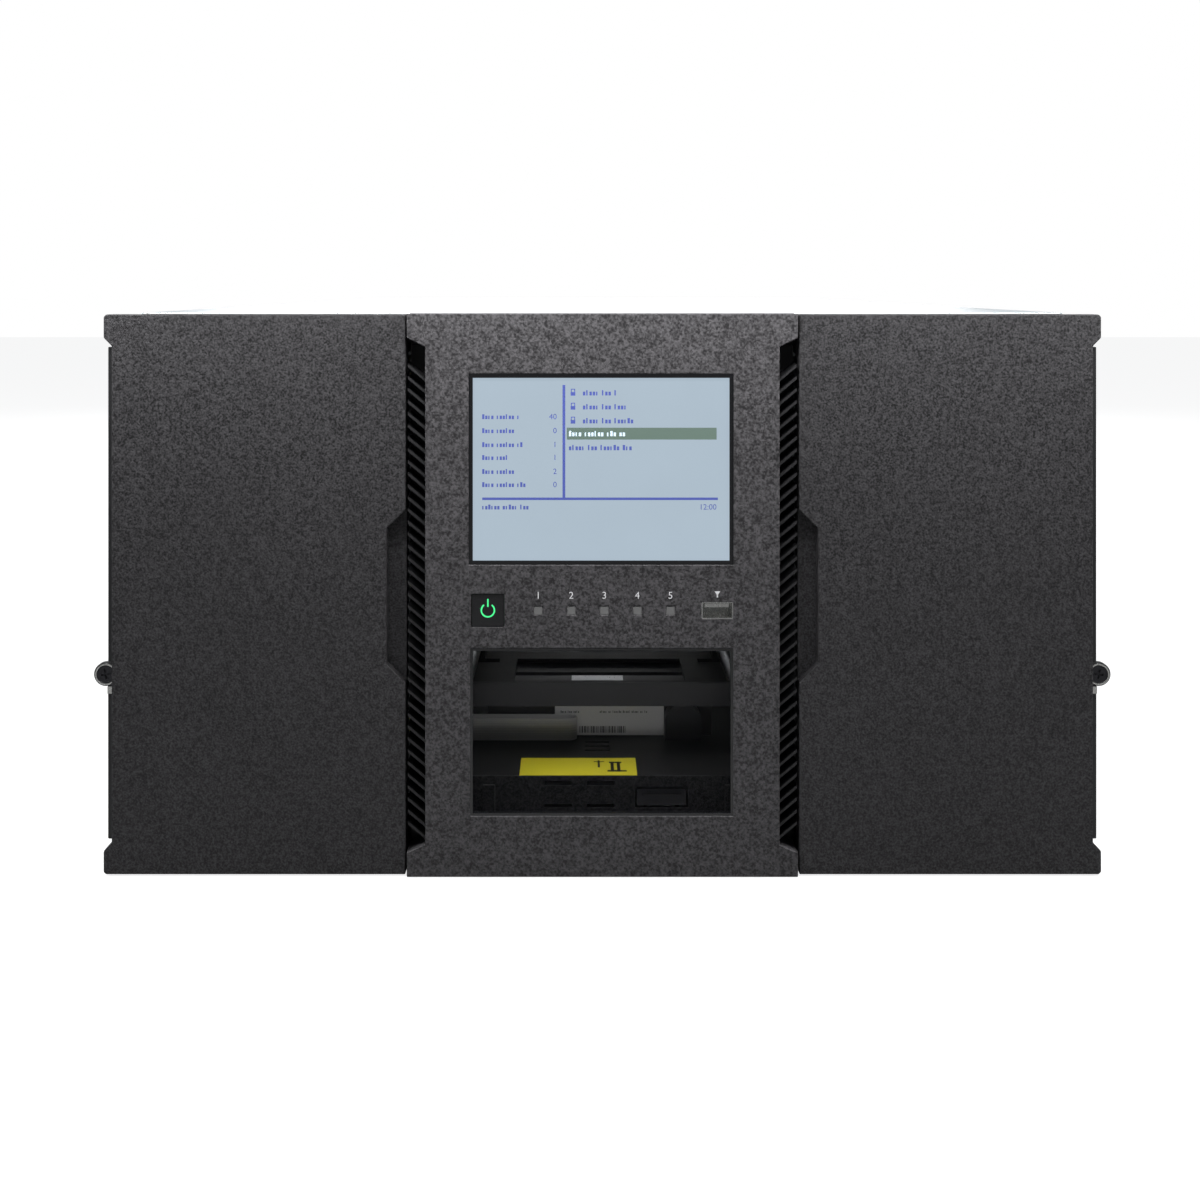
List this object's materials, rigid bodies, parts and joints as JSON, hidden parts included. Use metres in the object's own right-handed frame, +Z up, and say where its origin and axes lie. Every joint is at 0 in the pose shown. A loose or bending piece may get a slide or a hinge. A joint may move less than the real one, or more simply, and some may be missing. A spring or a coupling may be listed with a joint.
{
  "type": "rack-mounted data tape library",
  "caption": "Rack-mounted tape library with pull-out cartridge magazines, a lifting and turning robot, a centre bezel with display and window, a tape drive and power supplies.",
  "frame": {"origin": "centre of the bounding box's bottom face, on the base pan", "axes": "+X to the right seen from the front, -Y out of the front bezel, +Z up"},
  "size_m": [0.4828, 0.873, 0.266],
  "materials": {
    "case_steel": "satin blue-grey zinc-plated sheet",
    "black_steel": "black powder coat",
    "black_plastic": "dark grey plastic with a fine moulded grain",
    "vent_plastic": "matt black",
    "gloss_black": "polished black",
    "lcd": "lit pale blue display",
    "lamp_lens": "grey diffusing lens, unlit",
    "window_tint": "clear tinted pane",
    "nickel": "bright nickel plate",
    "dark_steel": "black oxide",
    "yellow_label": "printed yellow film",
    "white_label": "printed white film",
    "pcb_green": "solder mask",
    "ledge_plastic": "black moulded plastic",
    "robot_plastic": "dark moulded plastic",
    "flex_film": "grey flat cable film",
    "steel_part": "ground steel"
  },
  "bodies": {
    "chassis": {"base_pan": "case_steel", "side_panels": "case_steel", "top_cover": "case_steel", "rear_panel": "case_steel", "front_crossmember": "black_plastic", "front_header": "black_steel", "aisle_posts": "black_steel", "robot_floor": "black_steel", "magazine_decks": "case_steel", "magazine_rails": "steel_part", "gear_racks": "steel_part", "main_board": "pcb_green", "lock_label": "yellow_label", "rack_ears": "black_steel", "screw_ferrules": "nickel", "ear_clips": "nickel", "front_bezel": "black_plastic", "vent_strips": "vent_plastic", "window_pane": "window_tint", "window_frame": "gloss_black", "display_frame": "gloss_black", "display_panel": "lcd", "display_board": "pcb_green", "status_lamps": "lamp_lens", "usb_port": "nickel", "drive_cage": "case_steel", "drive_blanks": "case_steel", "power_cage": "case_steel"},
    "left_magazine": {"left_magazine_panel": "black_plastic", "left_magazine_tray": "case_steel", "left_magazine_ledges": "ledge_plastic"},
    "right_magazine": {"right_magazine_panel": "black_plastic", "right_magazine_tray": "case_steel", "right_magazine_ledges": "ledge_plastic"},
    "robot_carriage": {"carriage_frame": "black_steel", "carriage_rods": "steel_part", "lift_motor": "robot_plastic"},
    "left_lift_shaft": {"left_lift_shaft": "steel_part"},
    "right_lift_shaft": {"right_lift_shaft": "steel_part"},
    "robot_sled": {"sled_frame": "black_steel", "sled_motor": "robot_plastic", "flex_guide": "flex_film", "sled_label": "white_label"},
    "picker": {"picker_frame": "robot_plastic"},
    "gripper_slide": {"gripper_slide": "steel_part"},
    "gripper": {"gripper": "robot_plastic"},
    "power_button": {"power_button": "gloss_black"},
    "lock_lever": {"lock_lever": "robot_plastic"},
    "left_captive_screw": {"left_captive_screw": "dark_steel"},
    "right_captive_screw": {"right_captive_screw": "dark_steel"},
    "tape_drive": {"drive_body": "case_steel", "drive_sled": "robot_plastic"},
    "upper_power_supply": {"upper_supply": "case_steel", "power_inlets_upper": "vent_plastic"},
    "lower_power_supply": {"lower_supply": "case_steel", "power_inlets_lower": "vent_plastic"},
    "upper_fan": {"upper_fan": "vent_plastic"},
    "lower_fan": {"lower_fan": "vent_plastic"},
    "controller": {"controller_module": "case_steel", "network_ports": "robot_plastic"}
  },
  "joints": [
    {"name": "left_magazine_slide", "type": "slide", "parent": "chassis", "child": "left_magazine", "axis": [0, -1, 0], "range_m": [0, 0.55]},
    {"name": "right_magazine_slide", "type": "slide", "parent": "chassis", "child": "right_magazine", "axis": [0, -1, 0], "range_m": [0, 0.55]},
    {"name": "lift", "type": "slide", "parent": "chassis", "child": "robot_carriage", "axis": [0, 0, 1], "range_m": [0, 0.1785]},
    {"name": "left_shaft_turn", "type": "hinge", "parent": "robot_carriage", "child": "left_lift_shaft", "pos_m": [-0.08025, -0.39, 0.0734], "axis": [0, 1, 0], "range_deg": [-1176.8, 0]},
    {"name": "right_shaft_turn", "type": "hinge", "parent": "robot_carriage", "child": "right_lift_shaft", "pos_m": [0.08025, -0.39, 0.0734], "axis": [0, 1, 0], "range_deg": [0, 1176.8]},
    {"name": "sled_travel", "type": "slide", "parent": "robot_carriage", "child": "robot_sled", "axis": [0, 1, 0], "range_m": [-0.05, 0.386]},
    {"name": "picker_turn", "type": "hinge", "parent": "robot_sled", "child": "picker", "pos_m": [0, -0.2595, 0.0626], "axis": [0, 0, 1], "range_deg": [-90, 90]},
    {"name": "gripper_travel", "type": "slide", "parent": "picker", "child": "gripper", "axis": [0, 1, 0], "range_m": [0, 0.14]},
    {"name": "gripper_slide_travel", "type": "slide", "parent": "picker", "child": "gripper_slide", "axis": [0, 1, 0], "range_m": [0, 0.07]},
    {"name": "power_button_press", "type": "slide", "parent": "chassis", "child": "power_button", "axis": [0, 1, 0], "range_m": [0, 0.0015], "stiffness_N_per_m": 900},
    {"name": "lock_lever_turn", "type": "hinge", "parent": "chassis", "child": "lock_lever", "pos_m": [0.0297, -0.3975, 0.0234], "axis": [1, 0, 0], "range_deg": [-50, 0]},
    {"name": "left_captive_screw_turn", "type": "hinge", "parent": "chassis", "child": "left_captive_screw", "pos_m": [-0.2358, -0.43, 0.0946], "axis": [0, 1, 0], "continuous": true},
    {"name": "right_captive_screw_turn", "type": "hinge", "parent": "chassis", "child": "right_captive_screw", "pos_m": [0.2358, -0.43, 0.0946], "axis": [0, 1, 0], "continuous": true},
    {"name": "tape_drive_slide", "type": "slide", "parent": "chassis", "child": "tape_drive", "axis": [0, 1, 0], "range_m": [0, 0.215]},
    {"name": "upper_power_supply_slide", "type": "slide", "parent": "chassis", "child": "upper_power_supply", "axis": [0, 1, 0], "range_m": [0, 0.18]},
    {"name": "lower_power_supply_slide", "type": "slide", "parent": "chassis", "child": "lower_power_supply", "axis": [0, 1, 0], "range_m": [0, 0.18]},
    {"name": "upper_fan_spin", "type": "hinge", "parent": "upper_power_supply", "child": "upper_fan", "pos_m": [-0.133, 0.4085, 0.0725], "axis": [0, 1, 0], "continuous": true},
    {"name": "lower_fan_spin", "type": "hinge", "parent": "lower_power_supply", "child": "lower_fan", "pos_m": [-0.133, 0.4085, 0.0275], "axis": [0, 1, 0], "continuous": true},
    {"name": "controller_slide", "type": "slide", "parent": "chassis", "child": "controller", "axis": [0, 1, 0], "range_m": [0, 0.17]}
  ],
  "couplings": [
    {"joint": "left_shaft_turn", "follows": "lift", "rad_per_m": -114.29},
    {"joint": "right_shaft_turn", "follows": "lift", "rad_per_m": 114.29},
    {"joint": "gripper_slide_travel", "follows": "gripper_travel", "ratio": 0.5}
  ]
}
